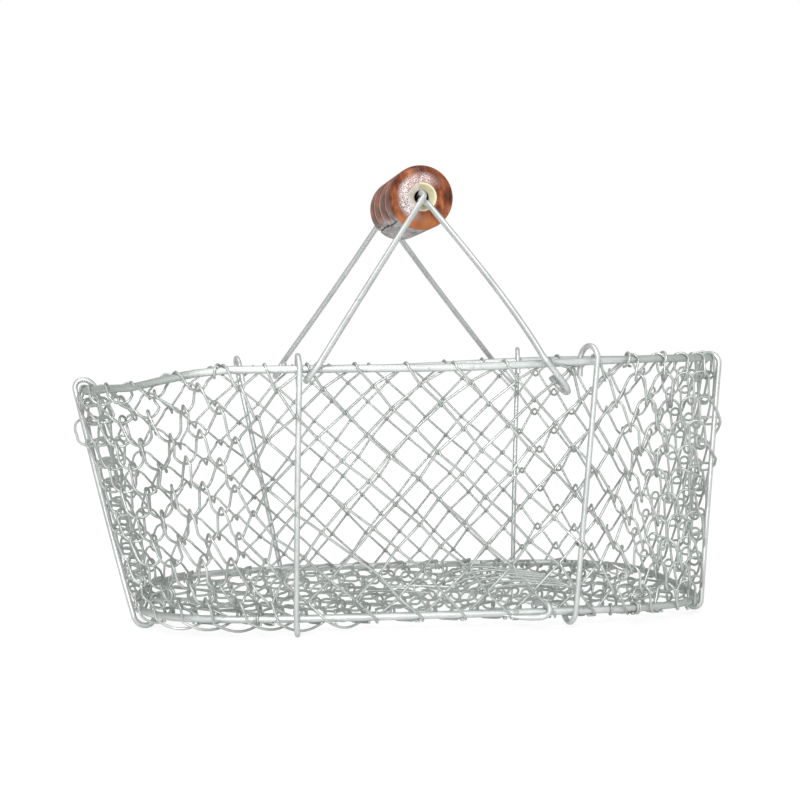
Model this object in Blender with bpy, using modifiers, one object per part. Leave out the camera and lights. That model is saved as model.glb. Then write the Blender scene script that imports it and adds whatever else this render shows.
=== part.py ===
"""Wire basket: a chain-link body between two steel rings, carried by a turned wooden grip.

Metres, +Z up, -Y to the front. The origin lies on the ground under the middle of the rim.
Every wire is a separate object: the rim, the base ring, six stays that hook the rings together,
the spirals that are laced into the side and the floor, two bails, and the grip they run through.
"""
from bisect import bisect_left
from math import copysign, cos, pi, radians, sin, sqrt, tan

import bmesh
import bpy
import numpy
from mathutils import Matrix, Vector

# Wire diameters and the gaps between wires that touch
ring_wire = 0.0044
stay_wire = 0.0032
bail_wire = 0.0036
mesh_wire = 0.0016
touch_gap = 0.0003
lacing_gap = 0.0013

# Rim: a hand-bent rounded rectangle that dips towards its left end
rim_half_length = 0.1925
rim_half_width = 0.126
rim_height = 0.143
rim_sag = 0.0016
rim_lift = 0.0014
rim_dip = 0.0131
rim_dip_start = 0.095
far_side_drop = 0.0010
rim_corner_powers = (3.0, 3.0, 3.0, 3.0)

# Base ring: smaller, squarer to the near right, and held off the ground by the stays' feet
base_half_length = 0.169
base_half_width = 0.108
base_offset = 0.0075
base_turn_degrees = -2.0
base_corner_powers = (3.7, 2.9, 4.1, 5.0)
foot_drop = 0.0105
foot_flat = 0.0003

# Chain-link mesh: diamonds this wide, and flattened spirals this deep from middle to strand
mesh_pitch = 0.041
mesh_half_depth = 0.0037
floor_link_margin = 0.0145
floor_knee = 0.0068
floor_tip_overrun = 0.001
floor_tip_room = 0.0036

# Stays: places along the rim and along the base ring, and how their hooks sit
near_left_stay_top = -0.0723
near_left_stay_foot = -0.0742
near_right_stay_top = 0.0945
near_right_stay_foot = 0.0829
far_left_stay_top = -0.0921
far_left_stay_foot = -0.0646
far_right_stay_top = 0.1067
far_right_stay_foot = 0.0985
left_end_stay_top = 0.0
left_end_stay_foot = -0.055
right_end_stay_top = -0.064
right_end_stay_foot = -0.072
stay_hook_room = 0.0001
near_left_hook_rise = 0.0003
near_right_hook_rise = 0.0024
far_left_hook_rise = -0.0013
far_right_hook_rise = 0.0020
left_end_hook_rise = 0.0005
right_end_hook_rise = -0.0018
stay_tail = 0.011
stay_pin_room = 0.0034
left_end_shares = (0.4, 0.6)
right_end_shares = (0.8, 1.0)

# Handle: where the bails cross the rim, how deep their hooks hang and how they reach the grip
near_left_foot = -0.0640
far_left_foot = -0.0633
near_right_foot = 0.0658
far_right_foot = 0.0905
near_left_slack = 0.0022
far_left_slack = 0.0006
right_hook_slack = 0.0125
hook_lean_share = 0.8
hook_tail = 0.0020
hook_shoulder = 0.003
curl_start_share = 0.45
bail_hook_room = 0.0006
leg_bend_radius = 0.008
bore_bend_radius = 0.0045
left_overhang = 0.0074
right_overhang = 0.0050
near_left_shoulder = 0.0012
near_left_drop = 0.0022
near_right_shoulder = 0.0042
near_right_drop = 0.0036
far_left_shoulder = 0.005
far_right_shoulder = 0.001
far_right_drop = 0.011

# Grip: a wooden roll with four finger beads, bored for the two bails
grip_length = 0.094
grip_radius = 0.0197
grip_groove_depth = 0.0016
grip_groove_half = 0.0022
grip_dome = 0.0065
grip_height = 0.100
grip_shift = 0.0102
countersink_radius = 0.0079
countersink_depth = 0.014
countersink_lip = 0.0006
bore_clearance = 0.0003

# Fineness
table_steps = 90
ring_points_per_column = 4
arc_steps = 7
dome_steps = 5
bead_steps = 4
grip_bead_count = 4
grip_segments = 28
wire_resolution = 2
mesh_resolution = 0
stay_runs = 4
search_steps = 40
ring_sample_count = 360
tangent_share = 0.002

# Sizes that follow from those above
pin_rise = (ring_wire + mesh_wire) / 2 + touch_gap
lacing_offset = (mesh_wire + lacing_gap) / sqrt(2)
stay_hook_radius = mesh_half_depth + (mesh_wire + stay_wire) / 2 + touch_gap + stay_hook_room
bail_hook_radius = mesh_half_depth + (mesh_wire + bail_wire) / 2 + touch_gap + bail_hook_room
bail_seat = (ring_wire + bail_wire) / 2 + touch_gap
rim_shift = (stay_hook_radius + stay_wire / 2 - mesh_half_depth - mesh_wire / 2) / 2
base_shift = rim_shift + base_offset
bail_offset = (bail_wire + touch_gap) / 2
bore_radius = bail_offset + bail_wire / 2 + bore_clearance
side_rows = max(2, round((rim_height + 2 * pin_rise) / (mesh_pitch / 2)))
floor_rows = max(2, round(2 * (base_half_length - floor_knee) / (mesh_pitch / 2)))

steel_colour = (0.55, 0.57, 0.57, 1.0)
mesh_colour = (0.62, 0.64, 0.63, 1.0)
wood_colour = (0.30, 0.10, 0.04, 1.0)


# Plan shapes of the two rings
def corner_points(half_length, half_width, power, quarter):
    """One corner of a ring, from one axis to the next, anticlockwise."""
    points = []
    for step in range(table_steps + 1):
        angle = (quarter + step / table_steps) * pi / 2
        along, across = cos(angle), sin(angle)
        x = half_length * copysign(abs(along) ** (2 / power), along)
        y = half_width * copysign(abs(across) ** (2 / power), across)
        points.append(Vector((x, y)))
    return points


def ring_table(half_length, half_width, powers, shift, turn):
    """For each corner, its points and the share of its length at which each one lies."""
    turning = Matrix.Rotation(turn, 2)
    table = []
    for quarter, power in enumerate(powers):
        points = [turning @ point + Vector((shift, 0))
                  for point in corner_points(half_length, half_width, power, quarter)]
        lengths = [0.0]
        for start, end in zip(points, points[1:]):
            lengths.append(lengths[-1] + (end - start).length)
        table.append((points, [length / lengths[-1] for length in lengths]))
    return table


rim_table = ring_table(rim_half_length, rim_half_width, rim_corner_powers, rim_shift, 0)
base_table = ring_table(base_half_length, base_half_width, base_corner_powers,
                        base_shift, radians(base_turn_degrees))


def ring_point(table, station):
    """The plan point at a station, from 0 to 1 anticlockwise from the right-hand end."""
    quarters = (station % 1.0) * 4
    quarter = min(int(quarters), 3)
    points, shares = table[quarter]
    share = quarters - quarter
    after = min(max(bisect_left(shares, share), 1), len(shares) - 1)
    span = shares[after] - shares[after - 1]
    return points[after - 1].lerp(points[after], (share - shares[after - 1]) / span)


def ring_length(table):
    """The length round a ring."""
    total = 0.0
    for points, shares in table:
        for start, end in zip(points, points[1:]):
            total += (end - start).length
    return total


rim_length = ring_length(rim_table)
base_length = ring_length(base_table)


def smooth(share):
    """A soft step from 0 to 1."""
    share = min(max(share, 0.0), 1.0)
    return share * share * (3 - 2 * share)


def rim_offset(plan):
    """How far the bent rim stands above or below its own level."""
    x = plan.x - rim_shift
    dip_run = rim_half_length - rim_dip_start
    dip_share = min(max((-x - rim_dip_start) / dip_run, 0.0), 1.0)
    drop_share = smooth((x + rim_half_length / 2) / rim_half_length)
    drop_share *= smooth((plan.y + rim_half_width / 2) / rim_half_width)
    rise = (rim_sag + rim_lift) * smooth(x / (rim_half_length - rim_dip_start / 2)) - rim_sag
    return rise - far_side_drop * drop_share - rim_dip * dip_share


def wall_point(station, height, depth=0.0):
    """A point of the basket's wall: height above the base ring, depth out from the wall."""
    level = height / rim_height

    def plan_at(place):
        return ring_point(base_table, place).lerp(ring_point(rim_table, place), level)

    plan = plan_at(station)
    ahead, behind = plan_at(station + tangent_share), plan_at(station - tangent_share)
    tangent = (ahead - behind).normalized()
    outward = Vector((tangent.y, -tangent.x))
    rise = rim_offset(ring_point(rim_table, station)) * min(max(level, 0.0), 1.0)
    place = plan + outward * depth
    return Vector((place.x, place.y, foot_drop + height + rise))


def station_where(measure, target, low, high):
    """The station between low and high at which a rising measure reaches the target."""
    for step in range(search_steps):
        middle = (low + high) / 2
        if measure(middle) < target:
            low = middle
        else:
            high = middle
    return (low + high) / 2


def near_station(table, x):
    """The station on the near long side at this x from the rim's middle."""
    return station_where(lambda place: ring_point(table, place).x, x + rim_shift, 0.5, 1.0)


def far_station(table, x):
    """The station on the far long side at this x from the rim's middle."""
    return station_where(lambda place: -ring_point(table, place).x, -x - rim_shift, 0.0, 0.5)


# Columns of the mesh: the hooks of the handle pass through the middle of an opening
hook_drift = hook_lean_share * (right_hook_slack + bail_seat)
near_left_hook = near_station(rim_table, near_left_foot)
near_right_hook = near_station(rim_table, near_right_foot + hook_drift)
far_right_hook = far_station(rim_table, far_right_foot + hook_drift)
far_left_hook = far_station(rim_table, far_left_foot)


def column_anchors():
    """Pairs of column number and station: right hooks hang at a pin, left hooks between pins."""
    stations = [near_left_hook, near_right_hook, far_right_hook + 1, far_left_hook + 1,
                near_left_hook + 1]
    half_steps = (0.5, 0.0, 0.5, 0.0)
    anchors = [(0.5, stations[0])]
    for extra, start, end in zip(half_steps, stations, stations[1:]):
        columns = (end - start) * rim_length / mesh_pitch
        whole = max(round(columns - extra), 0) + extra
        anchors.append((anchors[-1][0] + whole, end))
    return anchors


anchors = column_anchors()
column_count = round(anchors[-1][0] - anchors[0][0])


def column_station(column):
    """The station of a column number, which may be a half."""
    turns = (column - anchors[0][0]) // column_count
    column -= turns * column_count
    for (start, low), (end, high) in zip(anchors, anchors[1:]):
        if start <= column <= end:
            return low + (high - low) * (column - start) / (end - start) + turns
    return anchors[-1][1] + turns


def kept_clear(station, keep_outs, room, length):
    """The station, moved along its ring until it is room away from each keep-out."""
    share = room / length
    for keep_out in keep_outs:
        apart = (station - keep_out + 0.5) % 1.0 - 0.5
        if abs(apart) < share:
            station += copysign(share, apart) - apart
    return station


# Stays: the station of each on the rim and on the base ring, and how its hook sits
def end_station(table, y, shares, sign):
    """The station at one of the basket's ends, at this y."""
    return station_where(lambda here: sign * ring_point(table, here).y, sign * y, *shares)


stays = {
    "stay_near_left": (near_station(rim_table, near_left_stay_top),
                       near_station(base_table, near_left_stay_foot), near_left_hook_rise),
    "stay_near_right": (near_station(rim_table, near_right_stay_top),
                        near_station(base_table, near_right_stay_foot), near_right_hook_rise),
    "stay_far_left": (far_station(rim_table, far_left_stay_top),
                      far_station(base_table, far_left_stay_foot), far_left_hook_rise),
    "stay_far_right": (far_station(rim_table, far_right_stay_top),
                       far_station(base_table, far_right_stay_foot), far_right_hook_rise),
    "stay_left_end": (end_station(rim_table, left_end_stay_top, left_end_shares, -1),
                      end_station(base_table, left_end_stay_foot, left_end_shares, -1),
                      left_end_hook_rise),
    "stay_right_end": (end_station(rim_table, right_end_stay_top, right_end_shares, 1),
                       end_station(base_table, right_end_stay_foot, right_end_shares, 1),
                       right_end_hook_rise),
}


# Blender objects
def clear_scene():
    """Remove whatever the file holds."""
    for item in list(bpy.data.objects):
        bpy.data.objects.remove(item, do_unlink=True)


def make_collection(name):
    """A new collection in the scene."""
    collection = bpy.data.collections.new(name)
    bpy.context.scene.collection.children.link(collection)
    return collection


def make_material(name, colour, roughness, metallic):
    """A plain Principled material."""
    material = bpy.data.materials.new(name)
    material.use_nodes = True
    shader = material.node_tree.nodes["Principled BSDF"]
    shader.inputs["Base Color"].default_value = colour
    shader.inputs["Roughness"].default_value = roughness
    shader.inputs["Metallic"].default_value = metallic
    material.diffuse_color = colour
    return material


clear_scene()
basket = make_collection("onion_basket")
steel = make_material("galvanised_steel", steel_colour, 0.42, 0.9)
mesh_steel = make_material("galvanised_mesh", mesh_colour, 0.38, 0.9)
wood = make_material("varnished_wood", wood_colour, 0.25, 0.0)


def wire(name, points, diameter, material, closed=False, resolution=wire_resolution, pivot=None):
    """A round wire along the points, with its origin on the pivot if it has one."""
    curve = bpy.data.curves.new(name, "CURVE")
    curve.dimensions = "3D"
    curve.bevel_depth = diameter / 2
    curve.bevel_resolution = resolution
    curve.use_fill_caps = not closed
    curve.twist_mode = "MINIMUM"
    spline = curve.splines.new("POLY")
    spline.points.add(len(points) - 1)
    origin = pivot.location if pivot else Vector()
    for knot, point in zip(spline.points, points):
        knot.co = (*(point - origin), 1.0)
    spline.use_cyclic_u = closed
    curve.materials.append(material)
    item = bpy.data.objects.new(name, curve)
    item.parent = pivot
    basket.objects.link(item)
    return item


def rounded(points, radii, steps=arc_steps):
    """The polyline with an arc of the given radius at each inner corner."""
    path = [points[0]]
    for before, corner, after, radius in zip(points, points[1:], points[2:], radii):
        back = (before - corner).normalized()
        ahead = (after - corner).normalized()
        half_angle = back.angle(ahead) / 2
        cut = radius / tan(half_angle)
        cut = min(cut, (before - corner).length / 2, (after - corner).length / 2)
        radius = cut * tan(half_angle)
        bisector = (back + ahead).normalized()
        centre = corner + bisector * (radius / sin(half_angle))
        start = corner + back * cut - centre
        end = corner + ahead * cut - centre
        sweep = start.angle(end)
        for step in range(steps + 1):
            share = step / steps
            first = sin((1 - share) * sweep) / sin(sweep)
            second = sin(share * sweep) / sin(sweep)
            path.append(centre + start * first + end * second)
    path.append(points[-1])
    return path


def print_least_gap(name, points, closed):
    """Measure how near a spiral comes to itself, on points along it, and print that."""
    if closed:
        points = points + points[:1]
    samples = []
    runs = []
    run = 0.0
    for start, end in zip(points, points[1:]):
        length = (end - start).length
        count = max(1, round(length / mesh_wire))
        for index in range(count):
            samples.append(start.lerp(end, index / count))
            runs.append(run + length * index / count)
        run += length
    places = numpy.array([tuple(sample) for sample in samples])
    along = numpy.array(runs)
    apart = numpy.abs(along[:, None] - along[None, :])
    if closed:
        apart = numpy.minimum(apart, run - apart)
    distance = numpy.linalg.norm(places[:, None, :] - places[None, :, :], axis=2)
    least = distance[apart > pi * mesh_wire].min() - mesh_wire
    print("%s: least gap to itself %.1f mm" % (name, least * 1000))


# Rings
def make_ring(name, height):
    """The rim or the base ring, with a point at every pin of the mesh."""
    points = []
    for index in range(column_count * ring_points_per_column):
        station = column_station(anchors[0][0] + index / ring_points_per_column)
        points.append(wall_point(station, height))
    wire(name, points, ring_wire, steel, closed=True)


# Side mesh: each row is one flattened spiral that runs round the basket
def link_height(row):
    """The height of the lacing below this many rows, counted from the rim."""
    reach = rim_height + 2 * pin_rise
    return rim_height + pin_rise - reach * row / side_rows


def side_pin(row, column, at_top):
    """Station and height of a pin, where a spiral passes through the wall."""
    station = column_station(column)
    if at_top and row == 0:
        rim_stays = [top for top, foot, rise in stays.values()]
        return kept_clear(station, rim_stays, stay_pin_room, rim_length), link_height(0)
    if not at_top and row == side_rows - 1:
        feet = [foot for top, foot, rise in stays.values()]
        return kept_clear(station, feet, stay_pin_room, base_length), link_height(side_rows)
    if at_top:
        return station, link_height(row) + lacing_offset
    return station, link_height(row + 1) - lacing_offset


def make_side_spiral(row):
    """One spiral of the side: outer strands fall to the right, inner strands climb again."""
    points = []
    for index in range(column_count):
        column = index + row / 2
        top_station, top_height = side_pin(row, column, True)
        low_station, low_height = side_pin(row, column + 0.5, False)
        next_station, next_height = side_pin(row, column + 1, True)
        points.append(wall_point(top_station, top_height, mesh_half_depth))
        points.append(wall_point(low_station, low_height, mesh_half_depth))
        points.append(wall_point(low_station, low_height, -mesh_half_depth))
        points.append(wall_point(next_station, next_height, -mesh_half_depth))
    name = "side_spiral_%d" % (row + 1)
    wire(name, points, mesh_wire, mesh_steel, closed=True, resolution=mesh_resolution)
    print_least_gap(name, points, True)


# Floor mesh: spirals from the near side to the far side, laced to one another
sample_shares = [index / ring_sample_count for index in range(ring_sample_count)]
ring_samples = [(share, ring_point(base_table, share)) for share in sample_shares]
floor_span = 2 * (base_half_length - floor_knee)
floor_spacing = floor_span / floor_rows
bottom_pins = [side_pin(side_rows - 1, index + side_rows / 2, False)[0]
               for index in range(column_count)]


def inward_at(station):
    """The direction from the base ring into the basket."""
    ahead = ring_point(base_table, station + tangent_share)
    tangent = ahead - ring_point(base_table, station - tangent_share)
    return Vector((-tangent.y, tangent.x)).normalized()


def nearest_ring_place(place):
    """Station of the base ring nearest to a plan point, and how far inside it the point lies."""
    station, plan = min(ring_samples, key=lambda sample: (sample[1] - place).length_squared)
    return station, (place - plan).dot(inward_at(station))


def floor_link(line, order):
    """Plan place where two floor spirals are laced together."""
    return Vector((base_shift - floor_span / 2 + line * floor_spacing, order * mesh_pitch / 2))


def floor_pin(row, order):
    """A floor spiral's pin; it lies on the row's left when row and order are both odd or even."""
    on_left = (row + order) % 2 == 0
    line = row if on_left else row + 1
    pin = floor_link(line, order)
    if 0 < line < floor_rows:
        pin.x += -lacing_offset if on_left else lacing_offset
    return pin


def floor_orders(row):
    """The pins of a floor spiral that lie well inside the base ring."""
    reach = int(base_half_width / (mesh_pitch / 2)) + 1
    orders = []
    for order in range(-reach, reach + 1):
        line = row if (row + order) % 2 == 0 else row + 1
        if nearest_ring_place(floor_link(line, order))[1] > floor_link_margin:
            orders.append(order)
    return orders


def strand_side(row, order):
    """Upper strands leave a left pin, lower strands a right pin, as the order rises."""
    return 1 if (row + order) % 2 == 0 else -1


def raised(place, side):
    """A plan place on the upper or the lower face of the floor mesh."""
    return Vector((place.x, place.y, foot_drop + side * mesh_half_depth))


def floor_end(start, towards, side):
    """The end of a strand: straight over or under the base ring, clear of the side mesh."""
    direction = (towards - start).normalized()
    place = start.copy()
    stride = mesh_wire / 4
    while nearest_ring_place(place)[1] > 0:
        place += direction * stride
    climb = (mesh_half_depth + pin_rise) / (link_height(side_rows - 1) + lacing_offset + pin_rise)
    drift = climb * mesh_pitch / 2 / rim_length if side > 0 else 0
    blocked = [pin + drift for pin in bottom_pins]
    blocked += [foot for top, foot, rise in stays.values()]
    station = kept_clear(nearest_ring_place(place)[0], blocked, floor_tip_room, base_length)
    crossing = ring_point(base_table, station)
    inward = inward_at(station)
    knee = crossing + inward * floor_knee
    tip = crossing - inward * floor_tip_overrun
    return [raised(knee, side), raised(tip, side)]


def make_floor_spiral(row):
    """One spiral of the floor, cut where it crosses the base ring at each end."""
    orders = floor_orders(row)
    first, last = orders[0], orders[-1]
    side = strand_side(row, first - 1)
    points = floor_end(floor_pin(row, first), floor_pin(row, first - 1), side)[::-1]
    for order in orders:
        points.append(raised(floor_pin(row, order), strand_side(row, order - 1)))
        points.append(raised(floor_pin(row, order), strand_side(row, order)))
    side = strand_side(row, last)
    points += floor_end(floor_pin(row, last), floor_pin(row, last + 1), side)
    name = "floor_spiral_%02d" % (row + 1)
    wire(name, points, mesh_wire, mesh_steel, resolution=mesh_resolution)
    print_least_gap(name, points, False)


# Stays: one wire each, hooked over the rim and under the base ring
def make_stay(name, top_station, foot_station, hook_rise):
    """A stay outside the mesh, with its tails inside."""
    radius = stay_hook_radius
    top_centre = rim_height + hook_rise
    foot_centre = radius + stay_wire / 2 - foot_drop - foot_flat
    tail_top = -(mesh_half_depth + (mesh_wire + stay_wire) / 2 + touch_gap)
    points = [wall_point(top_station, top_centre - stay_tail, -radius)]
    for step in range(arc_steps + 1):
        angle = pi - pi * step / arc_steps
        height = top_centre + radius * sin(angle)
        points.append(wall_point(top_station, height, radius * cos(angle)))
    for step in range(1, stay_runs):
        share = step / stay_runs
        station = top_station + (foot_station - top_station) * share
        height = top_centre + (foot_centre - top_centre) * share
        points.append(wall_point(station, height, radius))
    for step in range(arc_steps + 1):
        angle = pi * step / arc_steps
        height = foot_centre - radius * sin(angle)
        if angle > pi / 2 and height > tail_top:
            break
        points.append(wall_point(foot_station, height, radius * cos(angle)))
    return wire(name, points, stay_wire, steel)


def flatten_feet(item):
    """Cut what reaches below the ground, so that the foot rests on a flat."""
    graph = bpy.context.evaluated_depsgraph_get()
    mesh = bpy.data.meshes.new_from_object(item.evaluated_get(graph))
    work = bmesh.new()
    work.from_mesh(mesh)
    bmesh.ops.remove_doubles(work, verts=work.verts, dist=touch_gap / 100)
    geometry = work.verts[:] + work.edges[:] + work.faces[:]
    bmesh.ops.bisect_plane(work, geom=geometry, plane_co=(0, 0, 0), plane_no=(0, 0, -1),
                           clear_outer=True)
    open_edges = [edge for edge in work.edges if edge.is_boundary]
    bmesh.ops.edgeloop_fill(work, edges=open_edges)
    bmesh.ops.recalc_face_normals(work, faces=work.faces)
    work.to_mesh(mesh)
    work.free()
    flat = bpy.data.objects.new(item.name, mesh)
    flat.matrix_world = item.matrix_world
    name = item.name
    bpy.data.objects.remove(item, do_unlink=True)
    flat.name = name
    basket.objects.link(flat)


# Handle: both bails run through the grip and hook under the rim
grip_centre = Vector((rim_shift + grip_shift, 0, foot_drop + rim_height + grip_height))


def bail_foot(station, sign, slack, lean, curl):
    """From the tail inside the rim, under it, and up to the shoulder outside it."""
    radius = bail_hook_radius
    centre = rim_height - bail_seat - slack + radius

    def place(height, depth):
        shift = sign * lean * (rim_height - height) / rim_length
        return wall_point(station + shift, height, depth)

    points = []
    if curl:
        rise = max(2 * bail_seat + slack + touch_gap - radius, bail_wire)
        for step in range(arc_steps):
            angle = pi * (curl_start_share + (1 - curl_start_share) * step / arc_steps)
            points.append(place(centre + rise * sin(angle), radius * cos(angle)))
    else:
        points.append(place(centre + hook_tail, -radius))
    for step in range(arc_steps + 1):
        angle = pi + pi * step / arc_steps
        points.append(place(centre + radius * sin(angle), radius * cos(angle)))
    points.append(place(max(centre, rim_height) + hook_shoulder, radius))
    return points


def make_pivot():
    """An empty on the line about which the handle rocks, under the rim at the left hooks."""
    near = wall_point(near_left_hook, rim_height)
    far = wall_point(far_left_hook, rim_height)
    pivot = bpy.data.objects.new("handle_pivot", None)
    pivot.location = ((near.x + far.x) / 2, 0, (near.z + far.z) / 2)
    pivot.empty_display_size = grip_radius
    basket.objects.link(pivot)
    return pivot


def make_bail(name, feet, height_offset, overhang, near_bend, far_bend, pivot):
    """One bail, from its near hook through the grip to its far hook."""
    near, far = feet
    exit_y = grip_length / 2 + overhang
    height = grip_centre.z + height_offset
    near_exit = Vector((grip_centre.x, -exit_y, height))
    far_exit = Vector((grip_centre.x, exit_y, height))
    corners = [near[-2], near[-1], near_exit + near_bend, near_exit]
    corners += [far_exit, far_exit + far_bend, far[-1], far[-2]]
    radii = [leg_bend_radius] + [bore_bend_radius] * (len(corners) - 4) + [leg_bend_radius]
    middle = rounded(corners, radii, arc_steps - 2)
    wire(name, near[:-2] + middle + far[:-2][::-1], bail_wire, steel, pivot=pivot)


def make_bails(pivot):
    """The left bail lies on top of the right one in the grip, and its legs bend further out."""
    left_feet = (bail_foot(near_left_hook, 1, near_left_slack, -hook_lean_share, False),
                 bail_foot(far_left_hook, -1, far_left_slack, -hook_lean_share, True))
    right_feet = (bail_foot(near_station(rim_table, near_right_foot), 1, right_hook_slack,
                            hook_lean_share, False),
                  bail_foot(far_station(rim_table, far_right_foot), -1, right_hook_slack,
                            hook_lean_share, False))
    make_bail("bail_wire_left", left_feet, bail_offset, left_overhang,
              Vector((near_left_shoulder, -bail_wire, -near_left_drop)),
              Vector((-far_left_shoulder, bail_wire, 0)), pivot)
    make_bail("bail_wire_right", right_feet, -bail_offset, right_overhang,
              Vector((near_right_shoulder, -bail_wire, -near_right_drop)),
              Vector((-far_right_shoulder, bail_wire, -far_right_drop)), pivot)


def grip_profile():
    """Half section of the grip: along the beads from one end to the other, and back by the bore."""
    half = grip_length / 2
    dome_end = half - grip_dome
    outer = []
    for step in range(dome_steps + 1):
        angle = pi / 2 * step / dome_steps
        reach = grip_radius - countersink_radius - countersink_lip
        outer.append((countersink_radius + countersink_lip + reach * sin(angle),
                      dome_end + grip_dome * cos(angle)))
    bead = 2 * half / grip_bead_count
    for index in range(grip_bead_count - 1):
        groove = half - bead * (index + 1)
        for step in range(-bead_steps, bead_steps + 1):
            share = step / bead_steps
            depth = grip_groove_depth * (1 + cos(pi * share)) / 2
            outer.append((grip_radius - depth, groove - share * 2 * grip_groove_half))
    for step in range(dome_steps, -1, -1):
        radius, height = outer[step]
        outer.append((radius, -height))
    bore_end = half - countersink_depth
    bore = [(countersink_radius, -half + countersink_lip), (bore_radius, -bore_end),
            (bore_radius, bore_end), (countersink_radius, half - countersink_lip)]
    return outer + bore


def make_grip(pivot):
    """The grip, turned about its bore and laid across the basket."""
    profile = grip_profile()
    mesh = bpy.data.meshes.new("grip")
    work = bmesh.new()
    corners = [work.verts.new((radius, 0, height)) for radius, height in profile]
    for start, end in zip(corners, corners[1:] + corners[:1]):
        work.edges.new((start, end))
    work.to_mesh(mesh)
    work.free()
    mesh.materials.append(wood)
    item = bpy.data.objects.new("grip", mesh)
    basket.objects.link(item)
    turn = item.modifiers.new("turning", "SCREW")
    turn.angle = 2 * pi
    turn.steps = grip_segments
    turn.render_steps = grip_segments
    turn.use_merge_vertices = True
    turn.merge_threshold = touch_gap / 10
    turn.use_normal_calculate = False
    turn.use_smooth_shade = True
    item.parent = pivot
    item.location = grip_centre - pivot.location
    item.rotation_euler = (pi / 2, 0, 0)


make_ring("top_rim", rim_height)
make_ring("base_ring", 0)
for row in range(side_rows):
    make_side_spiral(row)
for row in range(floor_rows):
    make_floor_spiral(row)
for stay_name, (stay_top, stay_foot, stay_rise) in stays.items():
    flatten_feet(make_stay(stay_name, stay_top, stay_foot, stay_rise))
handle_pivot = make_pivot()
make_bails(handle_pivot)
make_grip(handle_pivot)
bpy.context.view_layer.update()
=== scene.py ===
"""Looks of the onion basket: netting, rings, stays, bails and grip, on the frame of the CAD model.

Metres, +Z up, -Y to the front. The basket's wires are curves with a round section, laid along
routes that follow the two rings, and the grip is a turned mesh.
"""

from math import cos, pi, radians, sin, tan

import bpy
import numpy
from mathutils import Matrix, Vector


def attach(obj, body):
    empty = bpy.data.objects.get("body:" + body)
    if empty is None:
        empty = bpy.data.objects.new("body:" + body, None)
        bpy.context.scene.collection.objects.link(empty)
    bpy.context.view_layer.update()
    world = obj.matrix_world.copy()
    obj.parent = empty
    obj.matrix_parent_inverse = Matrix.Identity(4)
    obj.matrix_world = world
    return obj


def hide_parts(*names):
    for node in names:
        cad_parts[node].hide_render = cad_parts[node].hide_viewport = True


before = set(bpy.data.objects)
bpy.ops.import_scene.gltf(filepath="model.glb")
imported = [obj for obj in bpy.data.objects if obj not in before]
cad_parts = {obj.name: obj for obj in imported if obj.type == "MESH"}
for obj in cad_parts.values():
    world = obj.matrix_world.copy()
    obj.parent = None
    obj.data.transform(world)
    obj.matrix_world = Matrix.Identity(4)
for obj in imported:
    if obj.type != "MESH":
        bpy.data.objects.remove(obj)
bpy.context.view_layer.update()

# Wires
ring_wire = 0.0044
stay_wire = 0.0032
bail_wire = 0.0036
mesh_wire = 0.0015
touch_gap = 0.0001

# Rim and base ring, as in the CAD model
rim_half_length = 0.1925
rim_half_width = 0.126
rim_height = 0.143
rim_sag = 0.0022
rim_lift = 0.0014
rim_lift_run = 0.145
dip_places = (0.095, 0.110, 0.129, 0.148, 0.165, 0.176, 0.1925)
dip_depths = (0.0, 0.0, 0.0018, 0.0058, 0.0097, 0.0102, 0.0118)
far_right_drop = 0.0010
far_left_drop = 0.0030
far_drop_start = -0.13
far_drop_run = 0.27
rim_corner_powers = (3.0, 3.0, 3.0, 3.0)
base_half_length = 0.169
base_half_width = 0.108
base_turn_degrees = -2.0
base_corner_powers = (3.7, 2.9, 4.1, 5.0)
foot_drop = 0.0105
rim_shift = 0.0018
base_shift = 0.0093

# Netting
column_count = 41
column_pitch_share = 0.025
side_rows = 11
floor_rows = 26
floor_pitch = 0.0262
net_half_depth = 0.0020
right_half_depth = 0.0040
left_half_depth = 0.0052
end_start = 0.085
end_run = 0.045
end_overlap = 0.0028
floor_half_depth = 0.0038
ring_knuckle = 0.0029
side_bend_run = 0.6
end_bend_run = 0.85
link_gap = 0.0001
wander = 0.0004
loop_slack = 0.0046
loop_shift = 0.0100
loop_run = 0.0150
bunch_columns = (0, 13, 21.2, 26.5, 33, 34, 37.7, 41)
bunch_places = (0, 0.325, 0.567, 0.6625, 0.8275, 0.85, 0.915, 1)
corner_lean_share = 0.9
hook_link = 32.5
hook_push = 0.0046
hook_push_shift = 0.0040
right_drop = 0.0058
corner_rises = (0.0, 0.0040, 0.0082, 0.0063, 0.0049, 0.0033, 0.0017, 0.0, -0.0015, -0.0015, 0.0, 0.0)
near_lean_shares = (0.46, 0.29, 0.18, 0.09, 0.05, 0.06, 0.05, 0.08, 0.13, 0.17, 0.15, 0.15)
near_drift_shares = (-0.01, -0.03, -0.03, 0.02, 0.0, 0.08, 0.07, 0.10, 0.03, 0.09, 0.05, 0.05)
far_lean_shares = (0.0, 0.05, 0.08, 0.12, 0.10, 0.06, 0.04, 0.06, 0.10, 0.12, 0.10, 0.10)

# Stays: stations on the rim and the base ring, hook's rise, its tail's sideways skew,
# and the foot's radius, lift and sideways skew
stay_hook_radius = 0.0062
stay_tail = 0.011
foot_tail = 0.0020

# Small wires
lap_wire = 0.0036
binding_wire = 0.0007
crossing_reach = 0.0075

# Handle
bail_seat = 0.0043
bail_hook_radius = 0.0069
bail_offset = 0.00195
near_exit_lean = 0.0018
grip_centre = Vector((0.012, 0, 0.2535))
grip_length = 0.094
grip_radius = 0.0197
grip_dome = 0.0065
groove_depth = 0.0016
groove_half = 0.0044
countersink_radius = 0.0079
bore_radius = 0.00405
lathe_depth = 0.00022
lathe_pitch = 0.0012
crack_turn = radians(226)
crack_width = 0.00045
crack_depth = 0.0012
crack_wander = 0.0003
grip_sides = 320

# Looks
zinc_metallic = 0.75

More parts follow.
